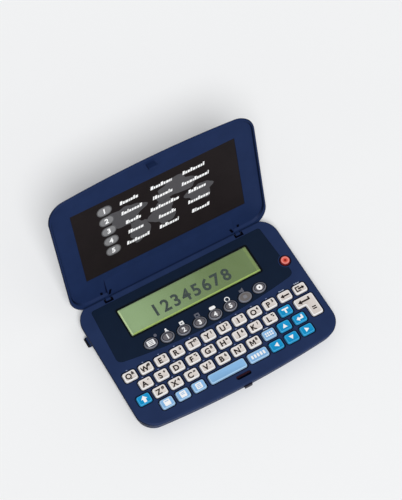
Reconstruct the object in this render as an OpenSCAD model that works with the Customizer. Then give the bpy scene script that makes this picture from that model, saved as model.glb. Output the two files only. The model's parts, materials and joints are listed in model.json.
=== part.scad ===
// Handheld translator with a hinged lid: a clamshell casing with a display,
// a full letter keypad and a hinged lid that holds a printed card.
// Origin: centre of the flat underside. +X right, +Y towards the hinge, +Z up.

/* [Casing] */
// Width of the casing and lid
body_w = 122.8; // [114:0.2:140]
// Depth of the casing, front edge to rear edge
body_d = 82; // [78:1:96]
// Height of the closed casing without the lid
base_h = 10; // [9.4:0.1:12]
// Radius of the four corners, seen from above
corner_r = 11.4; // [6:0.2:12]
// How far the middle of the front edge bows forward
front_bow = 2.2; // [1:0.1:4]
// Height of the seam between the two casing halves
seam_z = 4.4; // [3.8:0.1:4.6]
// Thickness of the top wall
top_wall = 1.4; // [1.2:0.1:1.8]
// Thickness of the bottom wall
floor_wall = 1.4; // [1.2:0.1:1.6]
// Depth of the side walls, from the widest outline to the cavity
side_wall = 2.6; // [2.4:0.1:3.4]

/* [Lid] */
// Thickness of the lid
lid_h = 3.8; // [3.4:0.05:6]
// Gap between the closed lid and the casing
lid_gap = 0.3; // [0.25:0.05:0.5]
// Depth of the tray inside the lid
tray_depth = 1.1; // [1:0.05:1.6]
// Width of the rim around the tray
rim_w = 1.2; // [1:0.1:2.4]
// Length of the wedge that thickens the lid towards the hinge
wedge_len = 11; // [8:0.5:13]
// Angle that the lid stands open
open_angle = 109; // [60:1:112]
// Distance from the printed card to each side of the lid
card_side = 12.3; // [9:0.1:20]
// Distance from the printed card to the lid's front edge
card_front = 14.6; // [12:0.1:24]
// Distance from the hinge line to the card's lower edge
card_rise = 17; // [15:0.1:20]
// Thickness of the printed card
card_t = 0.3; // [0.2:0.05:0.5]

/* [Hinge] */
// Distance from the rear edge to the hinge line
hinge_inset = 2.2; // [2.2:0.1:2.6]
// Depth of the hinge line below the top face
hinge_drop = 1; // [0.8:0.1:1.2]
// Distance from each hinge arm to the lid's side
arm_side = 19.2; // [17:0.1:30]
// Width of each hinge arm
arm_w = 2.6; // [2:0.1:4]
// Gap around each hinge arm
arm_gap = 0.5; // [0.3:0.05:0.8]
// Radius of the hinge pins
pin_r = 0.5; // [0.4:0.05:0.6]
// Length of each hinge pin
pin_len = 8; // [7:0.5:12]

/* [Keypad] */
// Spacing of the keys along a row, as a share of the casing's width
col_share = 0.0782; // [0.074:0.0002:0.08]
// Spacing of the rows, as a share of the casing's depth
row_share = 0.0927; // [0.088:0.0002:0.096]
// Distance from the front edge to the middle of the bottom row
rows_front = 11; // [10.6:0.1:13]
// Gap between neighbouring keys of a row
col_gap = 1.9; // [1.6:0.05:3]
// Gap between the keys of neighbouring rows
row_gap = 1.8; // [1.6:0.05:2.6]
// Corner radius of a letter key
key_r = 1.3; // [0.6:0.1:1.8]
// Height of the keys above the casing's top face
key_rise = 0.9; // [0.5:0.05:1]
// Travel of the keys
key_travel = 0.6; // [0.4:0.05:0.7]
// Width of the flange that holds each key under the top wall
flange_w = 0.5; // [0.3:0.05:0.55]
// Thickness of that flange
flange_t = 0.5; // [0.4:0.05:0.7]
// Gap between a key and its hole
key_gap = 0.2; // [0.15:0.01:0.3]
// Width of the space bar, in key spacings
space_span = 2.333; // [1.8:0.001:2.35]
// Width of the wide key beside the space bar, in key spacings
wide_span = 1.25; // [0.9:0.01:1.26]
// Depth of the oval function keys
oval_d = 6; // [4.6:0.1:6.2]
// Radius of the power button
power_r = 2.8; // [2:0.1:2.9]
// Distance of the power button from the right edge
power_from_edge = 6.6; // [6.6:0.1:8]
// Distance of the power button behind the top letter row
power_behind_row = 18.5; // [16:0.1:22]

/* [Screen] */
// Distance from the dark screen panel's rear corners to the casing's side
lens_rear_side = 8.6; // [8:0.1:12]
// Distance from the dark screen panel's front corners to the casing's side
lens_front_side = 6.8; // [6.6:0.1:10]
// Thickness of the screen panel
lens_t = 0.8; // [0.6:0.05:0.9]
// Distance from the display window to the casing's side
window_side = 21.1; // [19:0.1:30]
// Distance from the display window to the casing's rear edge
window_rear = 11.2; // [11:0.1:14]
// Distance from the top letter row to the window's front edge
window_behind_row = 19.8; // [19:0.1:23]
// Thickness of the display
display_t = 2; // [1.4:0.1:2.4]

/* [Electronics] */
// Thickness of the circuit board
board_t = 1; // [0.8:0.1:1.2]
// Radius of a coin cell
cell_r = 10; // [8:0.1:10.2]
// Thickness of a coin cell
cell_t = 3.2; // [2.5:0.1:3.3]
// Distance between the two coin cells
cell_gap = 2; // [1.5:0.1:4]
// Thickness of the battery contact strips
contact_t = 0.2; // [0.15:0.01:0.25]
// Thickness of the battery door
door_t = 1.2; // [1:0.1:1.3]
// Width of the slide rail along each side of the battery door
rail_w = 1; // [0.6:0.1:1.6]

/* [Latch and strap] */
// Width of the latch slot in the top face
slot_w = 9; // [8:0.1:11]
// Depth of the latch slot, front to back
slot_d = 2.5; // [2.2:0.1:3]
// Distance from the front edge to the middle of the latch slot
slot_from_front = 4.9; // [4.7:0.1:5.4]
// Width of the latch button
latch_w = 4.4; // [3:0.1:6]
// Height of the latch button
latch_h = 2.6; // [2:0.1:3]
// Travel of the latch button
latch_travel = 0.6; // [0.4:0.05:0.7]
// Width of the lid's hook
hook_w = 5; // [3:0.1:5.6]
// Thickness of the lid's hook
hook_t = 0.8; // [0.6:0.05:0.9]
// Length of the strap lug along the casing's side
lug_len = 5; // [4:0.1:10]
// How far the strap lug stands out past the casing's side
lug_out = 1.1; // [1.1:0.1:2]
// Radius of the strap hole
strap_r = 0.8; // [0.6:0.05:1]
// Distance of the strap lug behind the casing's middle
lug_y = 24; // [0:0.5:24]

/* [Screws] */
// Radius of the casing screws' shanks
screw_r = 0.8; // [0.7:0.05:1]
// Radius of the casing screws' heads
screw_head_r = 1.6; // [1.4:0.1:2]
// Thickness of the casing screws' heads
screw_head_t = 1; // [0.8:0.1:1.2]
// Distance of the front screws from the casing's side
screw_front_in = 9; // [9:0.1:10]
// Distance of the front screws from the front edge
screw_front_up = 10.5; // [10:0.1:11]
// Distance of the rear screws from the casing's side
screw_rear_in = 7.5; // [7.5:0.1:9]
// Distance of the rear screws from the rear edge
screw_rear_up = 15; // [14:0.1:16]

/* [Hidden] */
$fn = 48;
eps = 0.01;
arc_steps = 12;
bow_steps = 14;
fit = 0.1;
slide_fit = 0.15;
run_fit = 0.05;
swing_gap = 0.3;
seam_gap = 0.1;
seam_groove = 0.2;
seam_in = 0.9;
edge_round = 0.8;
room = 0.2;
card_sunk = 0.05;
latch_out = 0.7;

// Screws, studs under the board and the pad around the battery door
head_z = 0.9;
thread_room = 0.25;
cross_w = 0.4;
cross_len = 2;
cross_depth = 0.5;
stud_r = 1.4;
pad_w = 3;
pad_h = 1;
cell_seat_z = 0.5;

// Battery contacts and the chips under the board
contact_w = 6;
touch = 0.05;
chip_r = 5;
chip_t = 0.7;
driver_w = 6;
driver_t = 0.9;

// Grip ribs in the battery door
rib_count = 4;
rib_len = 16;
rib_w = 0.8;
rib_step = 1.6;
rib_depth = 0.3;

// Hinge: the tray ends before the hinge line, and a wall stands before the arm notches
tray_to_hinge = 1.4;
nose_back = 0.3;
rear_wall = 2.3;
lens_wall = 1.3;
press_fit = 0.02;

half_w = body_w / 2;
front_y = -body_d / 2;
rear_y = body_d / 2;
hinge_y = rear_y - hinge_inset;
hinge_z = base_h - hinge_drop;
under_z = base_h - top_wall;
rim_z = base_h + lid_gap;
tray_z = rim_z + tray_depth;
tray_rear_y = hinge_y - tray_to_hinge;
tray_back = rear_y - rim_w - tray_rear_y;

// Corner centres of the outline, with the front edge as one wide arc
corner_x = half_w - corner_r;
bow_r = (pow(corner_x, 2) + pow(front_bow, 2)) / (2 * front_bow);
bow_y = front_y + bow_r;
front_corner_y = bow_y - sqrt(pow(bow_r - corner_r, 2) - pow(corner_x, 2));
rear_corner_y = rear_y - corner_r;
bow_half = asin(corner_x / (bow_r - corner_r));

// Keypad: spacing and key sizes, on a grid of a twentieth of a millimetre
function on_grid(v) = round(v * 20) / 20;
pitch_x = on_grid(body_w * col_share);
pitch_y = on_grid(body_d * row_share);
key_w = on_grid(pitch_x - col_gap);
key_d = on_grid(pitch_y - row_gap);
space_w = on_grid(pitch_x * space_span);
wide_w = on_grid(pitch_x * wide_span);

// Keypad levels
key_top = base_h + key_rise;
key_bottom = under_z - fit - flange_t;
mat_top = key_bottom - key_travel - fit;
board_z = floor_wall + cell_t + contact_t + 2 * touch;
board_top = board_z + board_t;
mat_z = board_top + fit;
row_one_y = front_y + rows_front + 3 * pitch_y;
row_two_shift = 0.55 * pitch_x;
power_x = half_w - power_from_edge;
power_y = row_one_y + power_behind_row;

// Enter key: an arm in the second row and a leg down into the third
enter_right = 5.95 * pitch_x;
enter_arm_left = 4.7 * pitch_x;
enter_leg_left = 5.23 * pitch_x;

// Screen levels
window_w = body_w - 2 * window_side;
window_front_y = row_one_y + window_behind_row;
window_d = rear_y - window_rear - window_front_y;
window_y = window_front_y + window_d / 2;
lens_rear_y = hinge_y - hinge_drop - arm_gap - lens_wall;
lens_front_y = row_one_y + key_d / 2 + 2;
lens_side_y = lens_front_y + 6.8;
display_side = 5.5;
display_end = 3.3;
display_w = window_w + 2 * display_side;
display_d = window_d + 2 * display_end;
connector_in = 3;
connector_d = 2;
window_room = 0.5;
power_ring = 1.2;
lens_side_r = 3;
lens_rear_r = 1.6;
display_z = under_z - fit - display_t;

// Hinge: the casing's rear edge and the lid's arms are round about the hinge line
nose_r = hinge_drop;
arm_out = half_w - arm_side;
arm_in = arm_out - arm_w;
lid_swing_r = norm([hinge_inset, hinge_drop + lid_gap + 1.4]) + swing_gap;
pin_in = arm_in + arm_w / 2 - pin_len / 2;
pin_out = pin_in + pin_len;

// Card in the lid
card_w = body_w - 2 * card_side;
card_low_y = front_y + card_front;
card_h = hinge_y - card_rise - card_low_y;

// Cavity
cavity_rear = hinge_y - nose_r - arm_gap - rear_wall;
wide_x = half_w - side_wall - 1.6;
narrow_x = half_w - screw_front_in - 3;
wide_front = front_y + screw_front_up + 3;
wide_rear = rear_y - screw_rear_up - 4.6;
mat_front = row_one_y - 3 * pitch_y - key_d / 2 - 1;
mat_rear = lens_front_y + 9.5;
post_r = screw_r + 1.1;
screw_top = under_z - 1.2;
POST_YS = [row_one_y - 3 * pitch_y + 4, row_one_y + 4];

// Batteries and door
cell_x = cell_r + cell_gap / 2;
cell_y = cavity_rear - cell_r - 2.4;
door_w = 4 * cell_r + cell_gap + 5;
door_front = cell_y - cell_r - 1.6;

// Latch: a slider whose lip lies behind the slot, in a pocket under the top wall
slot_y = front_y + slot_from_front;
slot_front = slot_y - slot_d / 2;
slot_rear = slot_y + slot_d / 2;
latch_z = 5.2;
pocket_h = 0.6;
slider_arm_w = 1.6;
hook_in = 0.35;
hook_gap = 0.2;
barb_h = 0.7;
barb_gap = 0.2;
lip_z = under_z - fit;
lip_t = pocket_h - fit;
lip_y = slot_rear - 0.85;
lip_rear = slot_rear + 0.4;
slider_w = slot_w + 2 * slider_arm_w;
slider_y = front_y + side_wall + fit;
hook_y = slot_front + hook_in;
hook_tip_z = lip_z - barb_gap - barb_h;
slider_t = hook_y - hook_gap - latch_travel - slider_y;

// Strap lug
lug_r = strap_r + 0.7;
lug_z = seam_z - seam_gap / 2 - 0.1 - lug_r;
lug_x = -half_w - lug_out + lug_r;

SCREWS = [
    [half_w - screw_front_in, front_y + screw_front_up],
    [-half_w + screw_front_in, front_y + screw_front_up],
    [half_w - screw_rear_in, rear_y - screw_rear_up],
    [-half_w + screw_rear_in, rear_y - screw_rear_up]
];

// Each profile row: height, how far the outline is drawn in there, and how far its
// rear edge is drawn in further
LOWER_PROFILE = [
    [0, 4.4],
    [0.2, 3.5],
    [0.8, 2.4],
    [1.8, 1.5],
    [seam_z - seam_gap / 2 - seam_groove, seam_in],
    [seam_z - seam_gap / 2, seam_in + seam_groove]
];
UPPER_PROFILE = [
    [seam_z + seam_gap / 2, seam_in + seam_groove],
    [seam_z + seam_gap / 2 + seam_groove, seam_in],
    [base_h - 1.6, 0],
    [base_h - edge_round, 0],
    [base_h - edge_round * 0.3, edge_round * 0.3],
    [base_h, edge_round]
];
LID_PROFILE = [
    [rim_z, 0.5],
    [rim_z + 0.35, 0.1],
    [rim_z + 0.8, 0],
    [rim_z + lid_h * 0.4, 0.4],
    [rim_z + lid_h * 0.62, 1.2],
    [rim_z + lid_h * 0.8, 2.4],
    [rim_z + lid_h * 0.93, 4],
    [rim_z + lid_h, 6.4]
];

TRAY_PROFILE = [
    [rim_z - 1, rim_w, tray_back],
    [rim_z, rim_w, tray_back],
    [tray_z, rim_w + 0.5, tray_back + 0.6]
];

// Keys: name, kind, places, width, depth
function col(i) = (i - 5.5) * pitch_x;
function row(j) = row_one_y - j * pitch_y;
function letters(word, j, first, shift) = [
    for (i = [0 : len(word) - 1])
        [str("key_", word[i]), "letter", [[col(first + i) + shift, row(j)]], key_w, key_d]
];
function plain(name, kind, i, j, shift = 0) =
    [name, kind, [[col(i) + shift, row(j)]], key_w, key_d];

// The oval keys stand on a shallow arc
oval_arc_r = 260;
function oval_place(i) = [
    (i - 3.5) * pitch_x * 1.007,
    lens_front_y + 4.1 + oval_arc_r - sqrt(pow(oval_arc_r, 2) - pow((i - 3.5) * pitch_x, 2))
];
function oval(name, list) = [name, "oval", [for (i = list) oval_place(i)], key_w, oval_d];

KEYS = concat(
    letters("qwertyuiop", 0, 0, 0),
    [plain("key_back", "letter", 10, 0), plain("key_exit", "letter", 11, 0)],
    letters("asdfghjkl", 1, 0, row_two_shift),
    [
        plain("key_tab", "blue", 9, 1, row_two_shift),
        ["key_enter", "enter", [[0, row(1)]], enter_right - enter_arm_left, key_d],
        plain("key_shift", "blue", 0, 2)
    ],
    letters("zxcvbnm", 2, 1, 0),
    [
        plain("key_symbol", "light", 8, 2),
        plain("key_up", "blue", 9, 2),
        plain("key_return", "blue", 10, 2),
        ["icon_keys", "light", [for (i = [1 : 3]) [col(i), row(3)]], key_w, key_d],
        ["space_bar", "light", [[col(4.82), row(3)]], space_w, key_d],
        ["wide_key", "light", [[col(6.8), row(3)]], wide_w, key_d],
        plain("key_left", "blue", 8, 3),
        plain("key_down", "blue", 9, 3),
        plain("key_right", "blue", 10, 3),
        oval("menu_key", [0]),
        oval("language_keys", [1 : 5]),
        oval("grey_key", [6]),
        oval("ring_key", [7]),
        ["power_button", "round", [[power_x, power_y]], 2 * power_r, 2 * power_r]
    ]
);

// Points along an arc
function arc(x, y, r, from, to, steps) = [
    for (i = [0 : steps])
        let (a = from + (to - from) * i / steps) [x + r * cos(a), y + r * sin(a)]
];

// Points of the casing's outline drawn in by e, and at the rear by back as well
function outline(e, back = 0) = concat(
    arc(0, bow_y, bow_r - e, 270 - bow_half, 270 + bow_half, bow_steps),
    inner(arc(corner_x, front_corner_y, corner_r - e, 270 + bow_half, 360, arc_steps)),
    arc(corner_x, rear_corner_y - back, corner_r - e, 0, 90, arc_steps),
    arc(-corner_x, rear_corner_y - back, corner_r - e, 90, 180, arc_steps),
    inner(arc(-corner_x, front_corner_y, corner_r - e, 180, 270 - bow_half, arc_steps), 0)
);

// A list without its first point (skip = 1) or without its last (skip = 0)
function inner(list, skip = 1) = [for (i = [skip : len(list) - 2 + skip]) list[i]];

// A fillet of radius r at corner b of the path a-b-c
function unit(v) = v / norm(v);
function fillet(a, b, c, r) = let (
    u = unit(a - b),
    v = unit(c - b),
    half = acos(u * v) / 2,
    m = b + unit(u + v) * r / sin(half),
    s = b + u * r / tan(half) - m,
    t = b + v * r / tan(half) - m,
    from = atan2(s.y, s.x),
    turn = atan2(s.x * t.y - s.y * t.x, s * t)
) [
    for (i = [0 : 6])
        let (w = from + turn * i / 6) [m.x + r * cos(w), m.y + r * sin(w)]
];

// Points of the screen panel's outline drawn in by e
function lens_outline(e) = let (
    top = lens_rear_y - e,
    rear = half_w - lens_rear_side - e,
    front = half_w - lens_front_side - e,
    low = lens_side_y - 1.6 + e * 0.7,
    mid = lens_front_y + e,
    deep = lens_side_y - 2.6 - lens_front_y,
    half = front - 3,
    r = (pow(half, 2) + pow(deep, 2)) / (2 * deep),
    span = asin(half / r)
) concat(
    fillet([-rear, top], [-front, low], [-half, mid + deep], lens_side_r),
    arc(0, mid + r, r, 270 - span, 270 + span, 20),
    fillet([half, mid + deep], [front, low], [rear, top], lens_side_r),
    fillet([front, low], [rear, top], [-rear, top], lens_rear_r),
    fillet([rear, top], [-rear, top], [-front, low], lens_rear_r)
);

// A closed loft through the outline drawn in at each height of a profile
module loft(profile) {
    rings = [
        for (p = profile)
            let (back = is_undef(p[2]) ? 0 : p[2])
                [for (q = outline(p[1], back)) [q.x, q.y, p[0]]]
    ];
    n = len(rings[0]);
    last = (len(rings) - 1) * n;
    walls = [
        for (i = [0 : len(rings) - 2], j = [0 : n - 1])
            [i * n + j, (i + 1) * n + j, (i + 1) * n + (j + 1) % n, i * n + (j + 1) % n]
    ];
    polyhedron(
        [for (ring = rings) each ring],
        concat([[for (j = [0 : n - 1]) j]], walls, [[for (j = [n - 1 : -1 : 0]) last + j]])
    );
}

// A straight prism of the casing's outline
module slab(e, z0, z1) {
    translate([0, 0, z0]) linear_extrude(z1 - z0) polygon(outline(e));
}

// A block between two corners
module block(a, b) {
    translate(a) cube(b - a);
}

module rounded_rect(w, d, r) {
    square([w - 2 * r, d], center = true);
    square([w, d - 2 * r], center = true);
    for (sx = [-1, 1], sy = [-1, 1])
        translate([sx * (w / 2 - r), sy * (d / 2 - r)]) circle(r);
}

// A rod along X about the hinge line
module hinge_rod(r, x0, x1) {
    translate([x0, hinge_y, hinge_z]) rotate([0, 90, 0]) cylinder(r = r, h = x1 - x0);
}

// The outline of one key, grown by g
module key_outline(k, g) {
    kind = k[1];
    w = k[3] + 2 * g;
    d = k[4] + 2 * g;
    if (kind == "oval") {
        polygon([for (a = [0 : 10 : 350]) [w / 2 * cos(a), d / 2 * sin(a)]]);
    } else if (kind == "round") {
        circle(w / 2);
    } else if (kind == "enter") {
        translate([(enter_right + enter_arm_left) / 2, 0]) rounded_rect(w, d, key_r + g);
        translate([(enter_right + enter_leg_left) / 2, -pitch_y / 2])
            rounded_rect(enter_right - enter_leg_left + 2 * g, d + pitch_y, key_r + g);
    } else {
        rounded_rect(w, d, key_r + g);
    }
}

function key_colour(kind) =
    kind == "letter" || kind == "enter" ? [0.88, 0.85, 0.82] :
    kind == "blue" ? [0.12, 0.59, 0.8] :
    kind == "light" ? [0.55, 0.73, 0.88] :
    kind == "oval" ? [0.33, 0.33, 0.32] : [0.85, 0.3, 0.27];

// A key: its cap through the top wall and the flange that holds it in
module key(k) {
    color(key_colour(k[1])) for (p = k[2]) translate([p.x, p.y, 0]) {
        translate([0, 0, key_bottom]) linear_extrude(key_top - key_bottom) key_outline(k, 0);
        translate([0, 0, key_bottom]) linear_extrude(flange_t) key_outline(k, flange_w);
    }
}

// The holes for all keys from z0 to z1, with a gap of g around each
module key_holes(z0, z1, g) {
    for (k = KEYS, p = k[2])
        translate([p.x, p.y, z0]) linear_extrude(z1 - z0) key_outline(k, g);
}

// The outline shared by the board and the mat: narrow ends clear the screw posts
module board_outline(front, rear) {
    translate([-narrow_x, front]) square([2 * narrow_x, rear - front]);
    translate([-wide_x, wide_front]) square([2 * wide_x, min(rear, wide_rear) - wide_front]);
}

// Space that the battery door takes in the bottom wall, grown by g
module door_space(g, rear) {
    block([-door_w / 2 - g, door_front - g, -1], [door_w / 2 + g, rear, door_t / 2]);
    block([-door_w / 2 - rail_w - g, door_front - g, door_t / 2 - g],
          [door_w / 2 + rail_w + g, rear, door_t + g]);
}

module lower_casing() {
    pad_x = door_w / 2 + rail_w + pad_w;
    pad_rear = rear_y - side_wall - seam_in;
    color([0.14, 0.19, 0.36]) difference() {
        union() {
            difference() {
                loft(LOWER_PROFILE);
                slab(side_wall + seam_in, floor_wall, base_h);
            }
            block([-pad_x, door_front - pad_w, floor_wall - eps],
                  [pad_x, pad_rear + eps, floor_wall + pad_h]);
            for (s = SCREWS)
                translate([s.x, s.y, floor_wall - eps])
                    cylinder(r = post_r + 1, h = seam_z - seam_gap / 2 - floor_wall + eps);
            for (x = [-1, 1], y = POST_YS)
                translate([x * half_w / 2, y, floor_wall - eps])
                    cylinder(r = stud_r, h = board_z - floor_wall + eps);
            translate([0, lug_y + lug_len / 2, lug_z]) rotate([90, 0, 0]) linear_extrude(lug_len) {
                translate([lug_x, 0]) circle(lug_r);
                translate([lug_x, -lug_r]) square([lug_r + 1, 2 * lug_r]);
            }
        }
        door_space(slide_fit, rear_y + 1);
        for (s = [-1, 1]) translate([s * cell_x, cell_y, cell_seat_z])
            cylinder(r = cell_r + room, h = base_h);
        block([-cell_x, cell_y - cell_r - room, cell_seat_z], [cell_x, cell_y + cell_r + room, base_h]);
        for (s = SCREWS) translate([s.x, s.y, -1]) {
            cylinder(r = screw_head_r + room, h = 1 + head_z + screw_head_t);
            cylinder(r = screw_r + thread_room, h = base_h);
        }
        translate([lug_x, lug_y + lug_len, lug_z]) rotate([90, 0, 0])
            cylinder(r = strap_r, h = 2 * lug_len);
    }
}

// Rear cut-outs in the casing in which the lid's rear wall and arms swing. The round
// nose that is left along the rear edge carries the hinge pins.
module lid_swing_space() {
    side = half_w + 1;
    difference() {
        union() {
            intersection() {
                hinge_rod(lid_swing_r, -side, side);
                block([-side, hinge_y - nose_back, 0], [side, rear_y + 1, hinge_z]);
            }
            block([-side, hinge_y, hinge_z], [side, rear_y + 1, base_h + 1]);
        }
        hinge_rod(nose_r, -side, side);
    }
    at_arms(arm_gap) {
        block([0, hinge_y - nose_r - arm_gap, hinge_z],
              [arm_w + 2 * arm_gap, rear_y + 1, base_h + 1]);
        translate([0, hinge_y, hinge_z]) rotate([0, 90, 0])
            cylinder(r = nose_r + arm_gap, h = arm_w + 2 * arm_gap);
    }
}

// A piece between the inner and outer face of each hinge arm, grown by g
module at_arms(g) {
    for (x = [-arm_out, arm_in]) translate([x - g, 0, 0]) children();
}

// Both hinge pins or their bores, longer by g at each end
module at_pins(r, g) {
    hinge_rod(r, pin_in - g, pin_out + g);
    hinge_rod(r, -pin_out - g, -pin_in + g);
}

module upper_casing() {
    color([0.14, 0.19, 0.36]) difference() {
        union() {
            difference() {
                loft(UPPER_PROFILE);
                intersection() {
                    slab(side_wall, seam_z - 1, under_z);
                    block([-half_w, front_y, seam_z - 1], [half_w, cavity_rear, under_z]);
                }
                lid_swing_space();
            }
            for (s = SCREWS)
                translate([s.x, s.y, seam_z + seam_gap / 2])
                    cylinder(r = post_r, h = under_z - seam_z - seam_gap / 2 + eps);
        }
        key_holes(under_z - 1, base_h + 1, key_gap);
        translate([0, 0, base_h - lens_t]) linear_extrude(lens_t + 1) difference() {
            polygon(lens_outline(-fit));
            translate([power_x, power_y]) circle(power_r + power_ring);
        }
        translate([0, window_y, base_h - top_wall / 2])
            cube([window_w + 2 * window_room, window_d + 2 * window_room, 2 * top_wall], center = true);
        translate([0, slot_y, under_z - 1]) linear_extrude(top_wall + 2)
            rounded_rect(slot_w, slot_d, slot_d / 2 - eps);
        block([-slider_w / 2 - room, slider_y - room, under_z - 1],
              [slider_w / 2 + room, lip_rear + latch_travel + fit, under_z + pocket_h]);
        block([-latch_w / 2 - slide_fit, front_y - 1, latch_z - slide_fit],
              [latch_w / 2 + slide_fit, slider_y, latch_z + latch_h + slide_fit]);
        for (s = SCREWS)
            translate([s.x, s.y, seam_z - 1])
                cylinder(r = screw_r + run_fit, h = screw_top + room - seam_z + 1);
        at_pins(pin_r + run_fit, room);
    }
}

module screen_lens() {
    color([0.09, 0.12, 0.18]) difference() {
        translate([0, 0, base_h - lens_t]) linear_extrude(lens_t) difference() {
            polygon(lens_outline(0));
            translate([power_x, power_y]) circle(power_r + power_ring + fit);
        }
        key_holes(base_h - 2, base_h + 1, key_gap);
    }
}

module display_panel() {
    color([0.52, 0.62, 0.42])
        translate([-display_w / 2, window_y - display_d / 2, display_z])
            cube([display_w, display_d, display_t]);
}

module display_connector() {
    color([0.2, 0.2, 0.22])
        translate([-window_w / 2, window_y + display_d / 2 - connector_in, board_top])
            cube([window_w, connector_d, display_z - board_top]);
}

module keypad_mat() {
    color([0.25, 0.25, 0.27]) {
        translate([0, 0, mat_z]) linear_extrude(mat_top - mat_z) board_outline(mat_front, mat_rear);
        translate([power_x - power_r - 1, mat_rear - eps, mat_z])
            cube([wide_x - power_x + power_r + 1, power_y + power_r + 1 - mat_rear, mat_top - mat_z]);
    }
}

module circuit_board() {
    color([0.1, 0.35, 0.2]) {
        translate([0, 0, board_z]) linear_extrude(board_t)
            board_outline(mat_front, cavity_rear - 0.8);
        translate([0, row(2), board_z - chip_t]) cylinder(r = chip_r, h = chip_t + eps);
        translate([half_w / 4, row(2) - driver_w / 2, board_z - driver_t])
            cube([driver_w, driver_w, driver_t + eps]);
    }
}

module coin_cells() {
    color([0.78, 0.78, 0.8]) for (s = [-1, 1]) translate([s * cell_x, cell_y, floor_wall])
        cylinder(r = cell_r, h = cell_t);
}

module battery_contacts() {
    color([0.8, 0.68, 0.3]) for (s = [-1, 1])
        translate([s * cell_x - contact_w / 2, cell_y - cell_r / 2, board_z - touch - contact_t])
            cube([contact_w, cell_r, contact_t]);
}

module battery_door() {
    color([0.13, 0.18, 0.34]) difference() {
        intersection() {
            loft(LOWER_PROFILE);
            door_space(0, rear_y);
            block([-half_w, front_y, 0], [half_w, rear_y, door_t]);
        }
        for (i = [0 : rib_count - 1]) translate([0, door_front + rib_len / 4 + rib_step * i, 0])
            block([-rib_len / 2, -rib_w / 2, -1], [rib_len / 2, rib_w / 2, rib_depth]);
    }
}

module case_screws() {
    color([0.6, 0.6, 0.62]) for (s = SCREWS) translate([s.x, s.y, 0]) difference() {
        union() {
            translate([0, 0, head_z]) cylinder(r = screw_head_r, h = screw_head_t);
            translate([0, 0, head_z]) cylinder(r = screw_r, h = screw_top - head_z);
        }
        for (a = [0, 90]) rotate(a)
            block([-cross_len / 2, -cross_w / 2, 0], [cross_len / 2, cross_w / 2, head_z + cross_depth]);
    }
}

module latch_button() {
    color([0.12, 0.16, 0.3]) {
        block([-latch_w / 2, front_y - latch_out, latch_z],
              [latch_w / 2, slider_y + slider_t, latch_z + latch_h]);
        block([-slider_w / 2, slider_y, latch_z], [slider_w / 2, slider_y + slider_t, lip_z + lip_t]);
        difference() {
            block([-slider_w / 2, slider_y, lip_z], [slider_w / 2, lip_rear, lip_z + lip_t]);
            block([-slot_w / 2 - room, slider_y + slider_t, lip_z - 1], [slot_w / 2 + room, lip_y, base_h]);
        }
    }
}

// Puts a piece that is drawn with the lid closed into the lid's open place
module opened() {
    translate([0, hinge_y, hinge_z]) rotate([-open_angle, 0, 0])
        translate([0, -hinge_y, -hinge_z]) children();
}

// One hinge arm with its foot on the lid, drawn from its face at x = 0
module hinge_arm() {
    translate([0, hinge_y, hinge_z]) rotate([0, 90, 0]) cylinder(r = nose_r, h = arm_w);
    block([0, hinge_y - nose_r, hinge_z], [arm_w, hinge_y + nose_r, tray_z + room]);
}

// The wedge between the arms that thickens the lid towards the hinge
module hinge_wedge() {
    rotate([90, 0, 90]) translate([0, 0, -arm_in]) linear_extrude(2 * arm_in) polygon([
        [tray_rear_y - wedge_len, tray_z],
        [tray_rear_y, rim_z],
        [hinge_y, rim_z],
        [hinge_y, tray_z + room],
        [tray_rear_y - wedge_len, tray_z + room]
    ]);
}

module lid_shell() {
    color([0.14, 0.19, 0.36]) opened() difference() {
        union() {
            difference() {
                loft(LID_PROFILE);
                loft(TRAY_PROFILE);
            }
            hinge_wedge();
            at_arms(0) hinge_arm();
        }
        translate([-card_w / 2 - fit, card_low_y - fit, tray_z - 1])
            cube([card_w + 2 * fit, card_h + 2 * fit, 1 + card_t + card_sunk]);
        at_pins(pin_r + press_fit, room);
    }
    color([0.14, 0.19, 0.36]) opened() hook();
}

// The hook that hangs from the lid's tray into the latch slot
module hook() {
    block([-hook_w / 2, hook_y, hook_tip_z], [hook_w / 2, hook_y + hook_t, tray_z + room]);
    block([-hook_w / 2, hook_y, hook_tip_z], [hook_w / 2, lip_y - slide_fit, hook_tip_z + barb_h]);
}

module lid_card() {
    color([0.14, 0.12, 0.12]) opened()
        translate([-card_w / 2, card_low_y, tray_z + card_sunk])
            cube([card_w, card_h, card_t]);
}

module hinge_pins() {
    color([0.7, 0.7, 0.72]) at_pins(pin_r, 0);
}

lower_casing();
upper_casing();
screen_lens();
display_panel();
display_connector();
keypad_mat();
circuit_board();
coin_cells();
battery_contacts();
battery_door();
case_screws();
latch_button();
lid_shell();
lid_card();
hinge_pins();
for (k = KEYS) key(k);
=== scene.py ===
import json
import math

import bmesh
import bpy
from mathutils import Matrix, Vector
from mathutils.geometry import tessellate_polygon


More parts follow.
